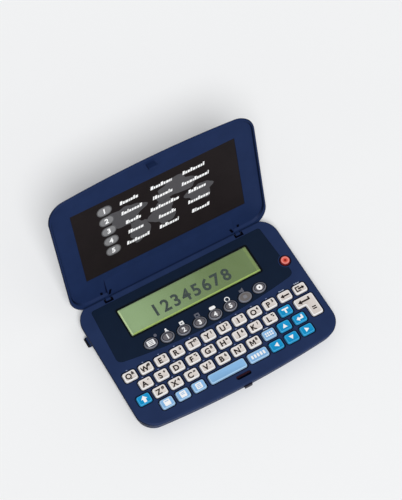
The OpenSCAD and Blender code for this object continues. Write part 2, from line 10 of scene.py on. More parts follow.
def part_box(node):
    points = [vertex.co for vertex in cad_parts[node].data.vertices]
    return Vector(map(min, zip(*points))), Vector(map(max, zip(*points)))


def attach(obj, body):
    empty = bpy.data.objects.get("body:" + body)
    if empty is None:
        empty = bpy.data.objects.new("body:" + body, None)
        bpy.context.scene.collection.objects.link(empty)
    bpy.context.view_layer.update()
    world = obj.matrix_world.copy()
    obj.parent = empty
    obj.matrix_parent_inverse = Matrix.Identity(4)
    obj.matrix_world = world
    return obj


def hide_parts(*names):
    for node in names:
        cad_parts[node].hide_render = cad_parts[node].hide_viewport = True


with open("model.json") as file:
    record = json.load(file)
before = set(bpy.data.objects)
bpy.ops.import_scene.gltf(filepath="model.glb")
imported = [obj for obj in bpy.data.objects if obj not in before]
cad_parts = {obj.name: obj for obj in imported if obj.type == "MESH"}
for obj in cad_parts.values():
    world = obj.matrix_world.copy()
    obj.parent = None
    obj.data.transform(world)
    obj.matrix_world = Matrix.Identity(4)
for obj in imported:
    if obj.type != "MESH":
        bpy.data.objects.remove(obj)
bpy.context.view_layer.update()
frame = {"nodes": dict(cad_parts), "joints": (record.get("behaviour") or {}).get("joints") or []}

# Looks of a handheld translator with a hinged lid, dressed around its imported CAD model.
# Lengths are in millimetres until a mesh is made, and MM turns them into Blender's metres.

MM = 0.001
NODES = frame["nodes"]
scene = bpy.context.scene


# ---------------------------------------------------------------- camera

PHOTO_HEIGHT = 500
SENSOR = 36
FOCAL_PIXELS = 1704.6
AIM = Vector((17.95, 39.67, 10.0))
AIM_DISTANCE = 936.3
AZIMUTH = math.radians(-33.83)
ELEVATION = math.radians(61.97)
ROLL = math.radians(-4.0)
# Nearest and farthest distance that the camera sees, in metres
NEAREST = 0.05
FARTHEST = 20


def make_camera():
    data = bpy.data.cameras.new("camera")
    data.sensor_fit = "VERTICAL"
    data.sensor_height = SENSOR
    data.lens = FOCAL_PIXELS / PHOTO_HEIGHT * SENSOR
    data.clip_start = NEAREST
    data.clip_end = FARTHEST
    back = Vector((
        math.sin(AZIMUTH) * math.cos(ELEVATION),
        -math.cos(AZIMUTH) * math.cos(ELEVATION),
        math.sin(ELEVATION),
    ))
    level = Vector((math.cos(AZIMUTH), math.sin(AZIMUTH), 0))
    plumb = back.cross(level)
    up = plumb * math.cos(ROLL) + level * math.sin(ROLL)
    right = up.cross(back)
    camera = bpy.data.objects.new("camera", data)
    turn = Matrix((right, up, back)).transposed().to_4x4()
    camera.matrix_world = Matrix.Translation((AIM + back * AIM_DISTANCE) * MM) @ turn
    scene.collection.objects.link(camera)
    scene.camera = camera


make_camera()


# ---------------------------------------------------------------- places taken from the frame

# The flange that holds each key under the casing's top wall
FLANGE_W = 0.5
FLANGE_T = 0.5
KEY_R = 1.3
KEY_GAP = 0.2
# How far the display reaches under the panel beside its window and behind it
DISPLAY_SIDE = 5.5
DISPLAY_END = 3.3
# Height of printing over the face that it is on
INK = 0.015
# Corners of a mesh closer than this are one, in metres
WELD = 1e-6
# A face whose normal rises more than this faces up
UPWARD = 0.9
# Fine grid on which corners of an outline are matched: steps in a metre, and a step in millimetres
GRID = 1e7
GRID_STEP = 1e-4


def box_mm(node):
    low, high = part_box(node)
    return low / MM, high / MM


CASING_LOW = box_mm("lower_casing")[0]
CASING_SIDE = box_mm("upper_casing")[0].x
LENS_LOW, LENS_HIGH = box_mm("screen_lens")
TOP_Z = LENS_HIGH.z
KEY_TOP_Z = box_mm("key_q")[1].z
DISPLAY_LOW, DISPLAY_HIGH = box_mm("display_panel")
WINDOW_LOW = Vector((DISPLAY_LOW.x + DISPLAY_SIDE, DISPLAY_LOW.y + DISPLAY_END))
WINDOW_HIGH = Vector((DISPLAY_HIGH.x - DISPLAY_SIDE, DISPLAY_HIGH.y - DISPLAY_END))
WINDOW_MIDDLE = (WINDOW_LOW + WINDOW_HIGH) / 2
WINDOW_SIZE = WINDOW_HIGH - WINDOW_LOW

hinge = next(j for j in frame["joints"] if j["name"] == "lid_hinge")
HINGE = Vector(hinge["pos_m"]) / MM
OPEN_ANGLE = math.radians(hinge["range_deg"][1])


def swung(p, angle):
    """A point turned about the hinge line. The lid opens by a positive angle."""
    y, z = p[1] - HINGE.y, p[2] - HINGE.z
    c, s = math.cos(angle), math.sin(angle)
    return Vector((p[0], HINGE.y + y * c + z * s, HINGE.z - y * s + z * c))


def closed_box(node):
    """Box of a node of the lid with the lid closed."""
    points = [swung(v.co / MM, -OPEN_ANGLE) for v in NODES[node].data.vertices]
    return bounding_box(points)


def bounding_box(points):
    low = Vector([min(p[i] for p in points) for i in range(3)])
    high = Vector([max(p[i] for p in points) for i in range(3)])
    return low, high


def islands(node):
    """Corners of each separate solid of a node, in millimetres."""
    bm = bmesh.new()
    bm.from_mesh(NODES[node].data)
    bmesh.ops.remove_doubles(bm, verts=bm.verts, dist=WELD)
    waiting = set(bm.verts)
    found = []
    while waiting:
        edge = [waiting.pop()]
        island = []
        while edge:
            vert = edge.pop()
            island.append(vert.co / MM)
            near = {e.other_vert(vert) for e in vert.link_edges} & waiting
            waiting -= near
            edge.extend(near)
        found.append(island)
    bm.free()
    return found


def places(node):
    """Boxes of a node's separate solids from left to right, without the flange."""
    flange = Vector((FLANGE_W, FLANGE_W, 0))
    boxes = []
    for island in islands(node):
        low, high = bounding_box(island)
        boxes.append((low + flange, high - flange))
    return sorted(boxes, key=lambda box: box[0].x)


def middle(box):
    return (box[0] + box[1]) / 2


def loop_length(points):
    return sum(math.dist(a, b) for a, b in zip(points, points[1:] + points[:1]))


def top_loops(node):
    """Closed outlines of the upward face at a node's top, the longest first."""
    mesh = NODES[node].data
    top = max(v.co.z for v in mesh.vertices)

    def spot(i):
        co = mesh.vertices[i].co
        return round(co.x * GRID), round(co.y * GRID)

    edges = set()
    for polygon in mesh.polygons:
        corners = list(polygon.vertices)
        if polygon.normal.z < UPWARD or any(mesh.vertices[i].co.z < top - WELD for i in corners):
            continue
        for a, b in zip(corners, corners[1:] + corners[:1]):
            edges.add((spot(a), spot(b)))
    after = {a: b for a, b in edges if (b, a) not in edges}
    loops = []
    while after:
        start, spot_now = after.popitem()
        loop = [start]
        while spot_now != start and spot_now in after:
            loop.append(spot_now)
            spot_now = after.pop(spot_now)
        loops.append([(x * GRID_STEP, y * GRID_STEP) for x, y in loop])
    return sorted(loops, key=lambda loop: -loop_length(loop))


# ---------------------------------------------------------------- materials

# Span of a noise's values that is stretched to the full range of a mottle, and of a drift
MOTTLE_SPAN = (0.35, 0.65)
DRIFT_SPAN = (0.3, 0.7)


def srgb(r, g, b):
    """Linear colour of an 8-bit screen colour."""
    def one(v):
        v = v / 255
        return v / 12.92 if v <= 0.04045 else ((v + 0.055) / 1.055) ** 2.4
    return one(r), one(g), one(b), 1.0


def shade(colour, k):
    return tuple(min(1, c * k) for c in colour[:3]) + (1.0,)


class Finish:
    """A procedural material: Principled shader, colour mottle, roughness drift and a fine grain."""

    def __init__(self, name, colour, roughness, gloss=0.5):
        self.material = bpy.data.materials.new(name)
        self.material.use_nodes = True
        self.nodes = self.material.node_tree.nodes
        self.links = self.material.node_tree.links
        self.shader = self.nodes["Principled BSDF"]
        self.shader.inputs["Base Color"].default_value = colour
        self.shader.inputs["Roughness"].default_value = roughness
        self.shader.inputs["Specular IOR Level"].default_value = gloss
        self.colour = colour
        self.roughness = roughness
        place = self.nodes.new("ShaderNodeTexCoord")
        self.where = place.outputs["Object"]
        self.facing = place.outputs["Normal"]

    def noise(self, size, detail=3.0):
        node = self.nodes.new("ShaderNodeTexNoise")
        node.inputs["Scale"].default_value = 1 / (size * MM)
        node.inputs["Detail"].default_value = detail
        self.links.new(self.where, node.inputs["Vector"])
        return node.outputs["Fac"]

    def ramp(self, value, low, high, to_low=0.0, to_high=1.0):
        node = self.nodes.new("ShaderNodeMapRange")
        for slot, number in zip(("From Min", "From Max", "To Min", "To Max"), (low, high, to_low, to_high)):
            node.inputs[slot].default_value = number
        self.links.new(value, node.inputs["Value"])
        return node.outputs["Result"]

    def mix(self, factor, a, b):
        node = self.nodes.new("ShaderNodeMix")
        node.data_type = "RGBA"
        self.links.new(factor, node.inputs["Factor"])
        for slot, value in (("A", a), ("B", b)):
            socket = next(s for s in node.inputs if s.name == slot and s.type == "RGBA")
            if isinstance(value, tuple):
                socket.default_value = value
            else:
                self.links.new(value, socket)
        return next(s for s in node.outputs if s.type == "RGBA")

    def add(self, a, b):
        node = self.nodes.new("ShaderNodeMath")
        self.links.new(a, node.inputs[0])
        self.links.new(b, node.inputs[1])
        return node.outputs["Value"]

    def part_of(self, vector, letter):
        """One of the three numbers of a vector."""
        node = self.nodes.new("ShaderNodeSeparateXYZ")
        self.links.new(vector, node.inputs["Vector"])
        return node.outputs[letter]

    def along(self, letter):
        """The object's own coordinate along one axis."""
        return self.part_of(self.where, letter)

    def sideways(self):
        """How far the surface faces to the left or the right, from 0 to 1."""
        node = self.nodes.new("ShaderNodeMath")
        node.operation = "ABSOLUTE"
        self.links.new(self.part_of(self.facing, "X"), node.inputs[0])
        return node.outputs["Value"]

    def paint(self, output):
        self.links.new(output, self.shader.inputs["Base Color"])
        return self

    def mottle(self, size, amount):
        factor = self.ramp(self.noise(size), *MOTTLE_SPAN)
        return self.paint(self.mix(factor, shade(self.colour, 1 - amount), shade(self.colour, 1 + amount)))

    def drift(self, size, amount):
        low, high = self.roughness - amount, self.roughness + amount
        value = self.ramp(self.noise(size), *DRIFT_SPAN, low, high)
        self.links.new(value, self.shader.inputs["Roughness"])
        return self

    def grain(self, size, depth, strength=0.5):
        node = self.nodes.new("ShaderNodeBump")
        node.inputs["Strength"].default_value = strength
        node.inputs["Distance"].default_value = depth * MM
        self.links.new(self.noise(size, detail=2.0), node.inputs["Height"])
        self.links.new(node.outputs["Normal"], self.shader.inputs["Normal"])
        return self

    def set(self, **values):
        for name, value in values.items():
            self.shader.inputs[name.replace("_", " ")].default_value = value
        return self


def plastic(name, colour, roughness=0.45, grain=0.25, depth=0.02, mottle=0.05, gloss=0.3):
    """Moulded plastic. grain and depth are the width and height of its texture."""
    finish = Finish(name, colour, roughness, gloss)
    return finish.mottle(9, mottle).drift(4, 0.05).grain(grain, depth).material


def ink(name, colour, roughness=0.5):
    """Printing ink."""
    return Finish(name, colour, roughness, 0.2).mottle(0.8, 0.05).drift(0.5, 0.06).material


def metal(name, colour, roughness, scratch):
    """Metal with fine scratches of the given width."""
    finish = Finish(name, colour, roughness).mottle(1.5, 0.08).drift(0.6, 0.08).grain(scratch, 0.004)
    return finish.set(Metallic=1.0).material


# Painted shade at the hinges: the dark slits, and the crease beside the wedge
crease_painted_shade = plastic("crease_painted_shade", srgb(17, 24, 52), 0.7, gloss=0.02)
slit_painted_shade = plastic("slit_painted_shade", srgb(3, 4, 16), 0.8, gloss=0.02)
panel_gloss = plastic("screen_border", srgb(18, 31, 51), 0.2, 0.6, 0.002, 0.04, 0.1)
frame_black = plastic("window_frame_black", srgb(6, 12, 16), 0.4, 0.6, 0.002, 0.04, 0.1)
# Painted shade: flat dark rings around the keys, on the casing and on the panel
ring_shade_navy = plastic("key_ring_painted_shade", srgb(10, 16, 38), 0.6, gloss=0.1)
ring_shade_black = plastic("oval_ring_painted_shade", srgb(8, 14, 26), 0.5, gloss=0.1)
# Each key's lighter rim is a painted highlight over the colour of its dish
white_rim_highlight = plastic("key_rim_white_painted_highlight", srgb(246, 244, 243), 0.4, 0.2, 0.008, 0.015)
white_dish = plastic("key_dish_white", srgb(222, 214, 208), 0.5, 0.2, 0.012, 0.025)
blue_rim_highlight = plastic("key_rim_blue_painted_highlight", srgb(56, 166, 220), 0.34, 0.2, 0.008, 0.05)
blue_dish = plastic("key_dish_blue", srgb(12, 146, 202), 0.36, 0.2, 0.01, 0.05, 0.2)
pale_rim_highlight = plastic("key_rim_light_blue_painted_highlight", srgb(168, 206, 240), 0.36, 0.2, 0.008, 0.03)
pale_dish = plastic("key_dish_light_blue", srgb(136, 184, 228), 0.4, 0.2, 0.01, 0.04, 0.2)
# Oval keys: painted highlight on the rim and painted shade in the groove, around the dish's own colour
oval_rim_highlight = plastic("oval_rim_grey", srgb(120, 122, 132), 0.3, 0.2, 0.006, 0.08)
oval_groove_shade = plastic("oval_groove_grey", srgb(46, 47, 56), 0.34, 0.2, 0.006, 0.06, 0.2)
oval_dish = plastic("oval_dish_grey", srgb(104, 101, 106), 0.34, 0.2, 0.008, 0.08, 0.2)
smoke_dish = plastic("grey_key_dish", srgb(112, 107, 106), 0.34, 0.2, 0.008, 0.12, 0.2)
# Power button: painted shade on the skirt and a painted highlight on the ring, around the dish's own red
power_skirt_shade = plastic("power_skirt_red", srgb(122, 34, 38), 0.3, 0.2, 0.005, 0.08, 0.2)
power_ring_highlight = plastic("power_ring_red", srgb(238, 138, 128), 0.28, 0.2, 0.005, 0.05)
power_dish = plastic("power_dish_red", srgb(226, 90, 74), 0.3, 0.2, 0.005, 0.05)
ink_dark = ink("ink_dark", srgb(30, 20, 20))
ink_white = ink("ink_white", srgb(250, 251, 252))
ink_pale = ink("ink_pale_blue", srgb(188, 200, 222))
ink_mark = ink("ink_mark_blue", srgb(124, 136, 174))
ink_grey = ink("ink_grey", srgb(128, 128, 134))
ink_faint = ink("ink_faint_grey", srgb(98, 100, 112))
# Painted shade in the power button's dimple, made with the ink helper
dimple_painted_shade = ink("dimple_painted_shade", srgb(142, 38, 28))
lcd_ink = ink("display_ink", srgb(30, 50, 42))
map_grey = ink("map_grey", srgb(78, 77, 80))
pill_rim = ink("pill_rim", srgb(92, 92, 94))
pill_grey = ink("pill_grey", srgb(130, 130, 132))
steel = metal("steel", srgb(182, 184, 188), 0.3, 0.1)
# Hinge pins darkened as painted shade, where they show in the shaded notches
pin_steel = metal("pin_steel", srgb(52, 54, 62), 0.5, 0.1)
cell_steel = metal("cell_steel", srgb(196, 196, 198), 0.35, 0.15)
brass = metal("contact_brass", srgb(206, 170, 92), 0.3, 0.1)
rubber = plastic("mat_rubber", srgb(70, 71, 76), 0.8, 0.3, 0.02)
board_green = plastic("board_green", srgb(34, 96, 58), 0.3, 1.2, 0.01, 0.12)
display_edge = plastic("display_edge", srgb(96, 112, 88), 0.2, 0.5, 0.002)


# Where the display's painted shade is at its darkest, as a share of the way from the middle to the right
# edge
LCD_DARK_AT = 0.5
# How much clouds shift the change from pale to dark
LCD_CLOUD = 0.08


def lcd_material():
    """Reflective display with painted light and shade: paler at the left, darker at the right."""
    left, right = srgb(150, 179, 127), srgb(102, 125, 68)
    finish = Finish("display_green", left, 0.4, 0.1)
    across = finish.ramp(finish.along("X"), WINDOW_LOW.x * MM, WINDOW_HIGH.x * LCD_DARK_AT * MM)
    cloud = finish.ramp(finish.noise(14), *DRIFT_SPAN, -LCD_CLOUD, LCD_CLOUD)
    finish.paint(finish.mix(finish.add(across, cloud), left, right))
    return finish.drift(6, 0.05).grain(0.4, 0.002).material


def window_material():
    """Clear window over the display."""
    finish = Finish("window_clear", srgb(235, 240, 242), 0.08, 0.1)
    return finish.drift(8, 0.03).set(Alpha=0.03).material


def card_material():
    """Printed card: warm near-black with a soft paper tooth."""
    finish = Finish("card_dark", srgb(30, 25, 26), 0.6, 0.08)
    return finish.mottle(12, 0.08).drift(3, 0.06).grain(0.12, 0.006).material


lcd_green = lcd_material()
# Painted highlights along the display's left and front edges, and a painted glint band at its right
lcd_highlight_left = ink("display_painted_highlight_left", srgb(200, 224, 164))
lcd_highlight_front = ink("display_painted_highlight_front", srgb(172, 202, 96))
lcd_glint = ink("display_painted_glint_band", srgb(124, 148, 78))
window_clear = window_material()
card_dark = card_material()


CASING_NAVY = srgb(35, 50, 86)
LID_NAVY = srgb(29, 44, 80)
# Painted shade on the walls at the left and right: the share of the colour that is left there
WALL_SHADE = 0.4
# How far a surface has turned sideways where the painted shade starts and where it is full
WALL_TURN = (0.3, 0.75)
# Distances outside the casing's side between which the lug's black gives way to navy
LUG_JOIN = (0.12, 0.06)
# Distances behind the front edge between which the latch turns from black to red
LATCH_JOIN = (1.5, 2.0)


def shell_with_painted_side_shade(name, colour, gloss):
    """Navy plastic with painted shade where it turns to the sides. Gives the finish and its colour output.
    """
    finish = Finish(name, colour, 0.47, gloss).drift(4, 0.05).grain(0.25, 0.02)
    cloud = finish.ramp(finish.noise(9), *MOTTLE_SPAN)
    face = finish.mix(cloud, shade(colour, 0.95), shade(colour, 1.05))
    turn = finish.ramp(finish.sideways(), *WALL_TURN)
    return finish, finish.mix(turn, face, shade(colour, WALL_SHADE))


def lid_material():
    """Navy shell, a little darker than the casing."""
    finish, navy = shell_with_painted_side_shade("lid_navy", LID_NAVY, 0.04)
    return finish.paint(navy).material


def casing_material():
    """Navy shell, black on the strap lug that stands out at the left."""
    finish, navy = shell_with_painted_side_shade("casing_navy", CASING_NAVY, 0.06)
    inward = finish.ramp(finish.along("X"), *[(CASING_SIDE - out) * MM for out in LUG_JOIN])
    return finish.paint(finish.mix(inward, srgb(12, 14, 24), navy)).material


def latch_material():
    """Near-black in front, dark red from the slot backwards."""
    front, rear = srgb(24, 22, 40), srgb(44, 18, 28)
    finish = Finish("latch_plastic", front, 0.45, 0.15)
    back = finish.ramp(finish.along("Y"), *[(CASING_LOW.y + y) * MM for y in LATCH_JOIN])
    return finish.paint(finish.mix(back, front, rear)).drift(3, 0.05).grain(0.25, 0.01).material


lid_plastic = lid_material()
casing = casing_material()
latch_plastic = latch_material()


# ---------------------------------------------------------------- mesh helpers

def finish_piece(name, bm, body, materials, smooth_angle=None):
    """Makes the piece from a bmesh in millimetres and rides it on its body."""
    bmesh.ops.scale(bm, vec=(MM, MM, MM), verts=bm.verts)
    bm.normal_update()
    mesh = bpy.data.meshes.new(name)
    bm.to_mesh(mesh)
    bm.free()
    for material in materials:
        mesh.materials.append(material)
    piece = bpy.data.objects.new(name, mesh)
    scene.collection.objects.link(piece)
    if smooth_angle is not None:
        mesh.shade_smooth()
        mesh.set_sharp_from_angle(angle=math.radians(smooth_angle))
    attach(piece, body)
    return piece


def round_edges(piece, width, angle):
    """Small radius along the edges that are sharper than the angle."""
    edge = piece.modifiers.new("edge_radius", "BEVEL")
    edge.width = width * MM
    edge.segments = 2
    edge.limit_method = "ANGLE"
    edge.angle_limit = math.radians(angle)


# Smallest radius of a rounded corner
LEAST_R = 0.12


def rounded(w, d, r, e=0.0, steps=6):
    """Counter-clockwise outline of a rounded rectangle drawn in by e."""
    hw, hd = w / 2 - e, d / 2 - e
    r = max(min(r - e, hw, hd), LEAST_R)
    points = []
    for sx, sy, start in ((1, 1, 0), (-1, 1, 90), (-1, -1, 180), (1, -1, 270)):
        for i in range(steps + 1):
            a = math.radians(start + 90 * i / steps)
            points.append((sx * (hw - r) + r * math.cos(a), sy * (hd - r) + r * math.sin(a)))
    return points


def ellipse(w, d, e=0.0, steps=48):
    angles = [2 * math.pi * i / steps for i in range(steps)]
    return [((w / 2 - e) * math.cos(a), (d / 2 - e) * math.sin(a)) for a in angles]


def dot(w):
    """A small round shape, with fewer points."""
    return ellipse(w, w, steps=24)


def fillet_path(corners, radii, steps=6):
    """Outline through corners with a fillet at each."""
    points = []
    for i, (corner, r) in enumerate(zip(corners, radii)):
        c = Vector(corner)
        u = (Vector(corners[i - 1]) - c).normalized()
        v = (Vector(corners[(i + 1) % len(corners)]) - c).normalized()
        half = u.angle(v) / 2
        centre = c + (u + v).normalized() * (r / math.sin(half))
        s = c + u * (r / math.tan(half)) - centre
        t = c + v * (r / math.tan(half)) - centre
        turn = math.atan2(s.x * t.y - s.y * t.x, s.dot(t))
        start = math.atan2(s.y, s.x)
        for k in range(steps + 1):
            a = start + turn * k / steps
            points.append((centre.x + r * math.cos(a), centre.y + r * math.sin(a)))
    return points


def moved(outline, x, y):
    return [(p[0] + x, p[1] + y) for p in outline]


def turned(outline, degrees):
    a = math.radians(degrees)
    c, s = math.cos(a), math.sin(a)
    return [(x * c - y * s, x * s + y * c) for x, y in outline]


def rectangle(x0, y0, x1, y1):
    return [(x0, y0), (x1, y0), (x1, y1), (x0, y1)]


def bar(x, y, length, thickness):
    """A straight bar about x, y."""
    return rectangle(x - length / 2, y - thickness / 2, x + length / 2, y + thickness / 2)


def loft(bm, rings, bands):
    """Closed body through rings of equal length. bands holds each wall's material index."""
    made = [[bm.verts.new(p) for p in ring] for ring in rings]
    n = len(made[0])
    for lower, upper, band in zip(made, made[1:], bands):
        for i in range(n):
            face = bm.faces.new((lower[i], lower[(i + 1) % n], upper[(i + 1) % n], upper[i]))
            face.material_index = band
    bm.faces.new(list(reversed(made[0])))
    cap = bm.faces.new(made[-1])
    cap.material_index = bands[-1]


def upright(x, y, lift):
    return Vector((x, y, lift))


def print_triangles(bm, points, triangles, lift, index, put):
    """Flat printing from points and index triples, all of it facing up."""
    verts = [bm.verts.new(put(p[0], p[1], lift)) for p in points]
    for a, b, c in triangles:
        first = (points[b][0] - points[a][0]) * (points[c][1] - points[a][1])
        second = (points[b][1] - points[a][1]) * (points[c][0] - points[a][0])
        order = (a, b, c) if first > second else (a, c, b)
        face = bm.faces.new([verts[i] for i in order])
        face.material_index = index


def flat(bm, outer, lift, holes=(), index=0, put=upright):
    """A thin printed shape. put turns its flat point and height into a place."""
    loops = [outer] + list(holes)
    points = [p for loop in loops for p in loop]
    triangles = tessellate_polygon([[Vector((x, y, 0)) for x, y in loop] for loop in loops])
    print_triangles(bm, points, triangles, lift, index, put)


# Height of a capital of the built-in font, in its own units
FONT_CAP = 0.69
# The font's own M folds over itself when it is made bold
DRAWN = {
    "M": [(-0.5, -0.5), (-0.27, -0.5), (-0.27, 0.12), (-0.08, -0.3), (0.08, -0.3), (0.27, 0.12),
          (0.27, -0.5), (0.5, -0.5), (0.5, 0.5), (0.24, 0.5), (0, -0.02), (-0.24, 0.5), (-0.5, 0.5)],
}
glyphs = {}


def glyph(character, bold):
    """Flat triangles of a character one unit tall, about its own middle."""
    if (character, bold) in glyphs:
        return glyphs[character, bold]
    if character in DRAWN:
        points = DRAWN[character]
        triangles = tessellate_polygon([[Vector((x, y, 0)) for x, y in points]])
    else:
        points, triangles = font_glyph(character, bold)
    glyphs[character, bold] = (points, triangles)
    return points, triangles


def font_glyph(character, bold):
    curve = bpy.data.curves.new("glyph", "FONT")
    curve.body = character
    curve.resolution_u = 4
    curve.offset = bold
    holder = bpy.data.objects.new("glyph", curve)
    scene.collection.objects.link(holder)
    bpy.context.view_layer.update()
    mesh = bpy.data.meshes.new_from_object(holder.evaluated_get(bpy.context.evaluated_depsgraph_get()))
    mesh.calc_loop_triangles()
    corners = [v.co / FONT_CAP for v in mesh.vertices]
    triangles = [tuple(t.vertices) for t in mesh.loop_triangles]
    centre = middle(bounding_box(corners))
    points = [(p.x - centre.x, p.y - centre.y) for p in corners]
    bpy.data.objects.remove(holder)
    bpy.data.curves.remove(curve)
    bpy.data.meshes.remove(mesh)
    return points, triangles


def stamp(bm, character, x, y, lift, height, index=0, put=upright, bold=0.03):
    """Prints a character of the given height with its middle at x, y."""
    points, triangles = glyph(character, bold)
    spots = [(x + px * height, y + py * height) for px, py in points]
    print_triangles(bm, spots, triangles, lift, index, put)


# A word's blocks, in shares of its height: widths, least width, gap, height of the low ones
WORD_BLOCKS = (0.62, 0.5, 0.7, 0.34, 0.58, 0.46)
WORD_LEAST = 0.2
WORD_GAP = 0.14
WORD_SMALL = 0.68
# How far a block leans over, as a share of its own height
WORD_LEAN = 0.22


def word(bm, x, y, lift, length, height, seed, index=0, put=upright):
    """A printed word without letters: leaning blocks of uneven width and height in a row."""
    left = x - length / 2
    i = seed
    while left < x + length / 2 - WORD_LEAST * height:
        width = min(WORD_BLOCKS[i % len(WORD_BLOCKS)] * height, x + length / 2 - left)
        tall = height if i == seed or (3 * i + seed) % 5 == 0 else WORD_SMALL * height
        low = y - height / 2
        lean = WORD_LEAN * tall
        right, top = left + width, low + tall
        block = [(left, low), (right, low), (right + lean, top), (left + lean, top)]
        flat(bm, block, lift, index=index, put=put)
        left += width + WORD_GAP * height
        i += 1


# ---------------------------------------------------------------- carried-over CAD nodes

def dress(node, material):
    """Gives a CAD node its material."""
    piece = NODES[node]
    piece.data.materials.clear()
    piece.data.materials.append(material)


dress("upper_casing", casing)
dress("lower_casing", casing)
dress("battery_door", casing)
dress("latch_button", latch_plastic)
dress("lid_shell", lid_plastic)
dress("hinge_pins", pin_steel)
dress("case_screws", steel)
dress("keypad_mat", rubber)
dress("display_connector", rubber)
dress("circuit_board", board_green)
dress("coin_cells", cell_steel)
dress("battery_contacts", brass)
dress("display_panel", display_edge)


# ---------------------------------------------------------------- keys

# Each step of a profile: how far in from the key's outline, height from its top, material
CAP_PROFILE = [
    (0.22, -0.42, 0), (0.28, -0.2, 0), (0.4, -0.06, 0),
    (0.6, 0.0, 0), (0.8, -0.01, 0), (1.0, -0.08, 1),
]
OVAL_PROFILE = [
    (0.0, -0.45, 0), (0.08, -0.2, 0), (0.25, -0.05, 0), (0.6, 0.0, 0),
    (0.78, -0.07, 1), (1.1, -0.08, 1), (1.25, -0.02, 2), (1.45, -0.02, 2),
]
POWER_PROFILE = [
    (0.0, -0.5, 0), (0.12, -0.22, 0), (0.5, -0.08, 0),
    (0.8, 0.0, 1), (1.3, -0.02, 1), (1.6, -0.08, 2),
]


def flanged_cap(bm, outline, centre, low_z, profile):
    """One key: flange, skirt, rounded edge and a shallow dish. outline(e) is drawn in by e."""
    def ring(e, z):
        return [(x + centre.x, y + centre.y, z) for x, y in outline(e)]
    flange_top = low_z + FLANGE_T
    rings = [ring(-FLANGE_W, low_z), ring(-FLANGE_W, flange_top), ring(0, flange_top)]
    bands = [0, 0]
    for e, dz, band in profile:
        rings.append(ring(e, KEY_TOP_Z + dz))
        bands.append(band)
    loft(bm, rings, bands)


def key_body(node):
    return node + "_body"


def rounded_of(size):
    return lambda e: rounded(size.x, size.y, KEY_R, e)


def ellipse_of(size):
    return lambda e: ellipse(size.x, size.y, e)


# The enter key: width of its leg, radius of its inner corner, least such radius, depth of its arm
ENTER_LEG_W = 6.9
ENTER_INNER_R = 0.35
LEAST_INNER_R = 0.05
ENTER_ARM_D = places("key_q")[0][1].y - places("key_q")[0][0].y


def enter_of(size):
    """The L of the enter key about the middle of its box, drawn in by e."""
    def outline(e):
        x0, x1 = -size.x / 2 + e, size.x / 2 - e
        y0, y1 = -size.y / 2 + e, size.y / 2 - e
        notch_x = size.x / 2 - ENTER_LEG_W + e
        notch_y = size.y / 2 - ENTER_ARM_D + e
        corners = [(x1, y1), (x0, y1), (x0, notch_y), (notch_x, notch_y), (notch_x, y0), (x1, y0)]
        outer = max(KEY_R - e, LEAST_R)
        inner = max(ENTER_INNER_R + e, LEAST_INNER_R)
        return fillet_path(corners, [outer, outer, outer, inner, outer, outer])
    return outline


# Reach of the painted shade ring around a key, from the key's outline
SHADE_RING_OUT = 0.7
# Edges sharper than this many degrees stay sharp on a key cap
CAP_SMOOTH = 38
shade_ring_meshes = {"casing": bmesh.new(), "panel": bmesh.new()}


def make_keys(node, materials, outline_of, profile, shade_set="casing"):
    """All keys of a node as one piece, with a flat ring of painted shade around each."""
    bm = bmesh.new()
    for box in places(node):
        outline = outline_of(box[1] - box[0])
        centre = middle(box)
        flanged_cap(bm, outline, centre, box[0].z, profile)
        outer = moved(outline(-SHADE_RING_OUT), centre.x, centre.y)
        inner = moved(outline(-KEY_GAP), centre.x, centre.y)
        flat(shade_ring_meshes[shade_set], outer, TOP_Z + INK, [inner])
    piece = finish_piece("cap_" + node, bm, key_body(node), materials, CAP_SMOOTH)
    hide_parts(node)


LETTER_KEYS = {"key_" + c: c.upper() for c in "qwertyuiopasdfghjklzxcvbnm"}
BLUE_KEYS = ["key_tab", "key_shift", "key_up", "key_return", "key_left", "key_down", "key_right"]
PALE_KEYS = ["key_symbol", "icon_keys", "space_bar", "wide_key"]

for key_name in list(LETTER_KEYS) + ["key_back", "key_exit"]:
    make_keys(key_name, [white_rim_highlight, white_dish], rounded_of, CAP_PROFILE)
for key_name in BLUE_KEYS:
    make_keys(key_name, [blue_rim_highlight, blue_dish], rounded_of, CAP_PROFILE)
for key_name in PALE_KEYS:
    make_keys(key_name, [pale_rim_highlight, pale_dish], rounded_of, CAP_PROFILE)
for key_name in ("menu_key", "language_keys", "ring_key"):
    make_keys(key_name, [oval_rim_highlight, oval_groove_shade, oval_dish], ellipse_of, OVAL_PROFILE, "panel")
make_keys("grey_key", [oval_rim_highlight, smoke_dish, smoke_dish], ellipse_of, OVAL_PROFILE, "panel")
POWER_MATERIALS = [power_skirt_shade, power_ring_highlight, power_dish]
make_keys("power_button", POWER_MATERIALS, ellipse_of, POWER_PROFILE, "panel")
make_keys("key_enter", [white_rim_highlight, white_dish], enter_of, CAP_PROFILE)
finish_piece("key_shade_rings", shade_ring_meshes["casing"], "base", [ring_shade_navy])
finish_piece("oval_shade_rings", shade_ring_meshes["panel"], "base", [ring_shade_black])


# ---------------------------------------------------------------- legends on the keys

DISH_Z = KEY_TOP_Z + CAP_PROFILE[-1][1] + INK
OVAL_Z = KEY_TOP_Z + OVAL_PROFILE[-1][1] + INK
POWER_Z = KEY_TOP_Z + POWER_PROFILE[-1][1] + INK
LETTER_H = 3.0
LETTER_X = -0.9
LETTER_Y = -0.25
LETTER_BOLD = 0.038
SIGN_H = 1.7
SIGN_X = 1.95
SIGN_Y = 1.0
SIGN_BOLD = 0.05
OVAL_NUMBER_H = 2.5
NUMBER_BOLD = 0.04


def legend(node, materials, draw):
    """Prints what draw(bm, centre, number) makes on each key of a node, and rides it with them."""
    bm = bmesh.new()
    for number, box in enumerate(places(node)):
        draw(bm, middle(box), number)
    finish_piece("legend_" + node, bm, key_body(node), materials)


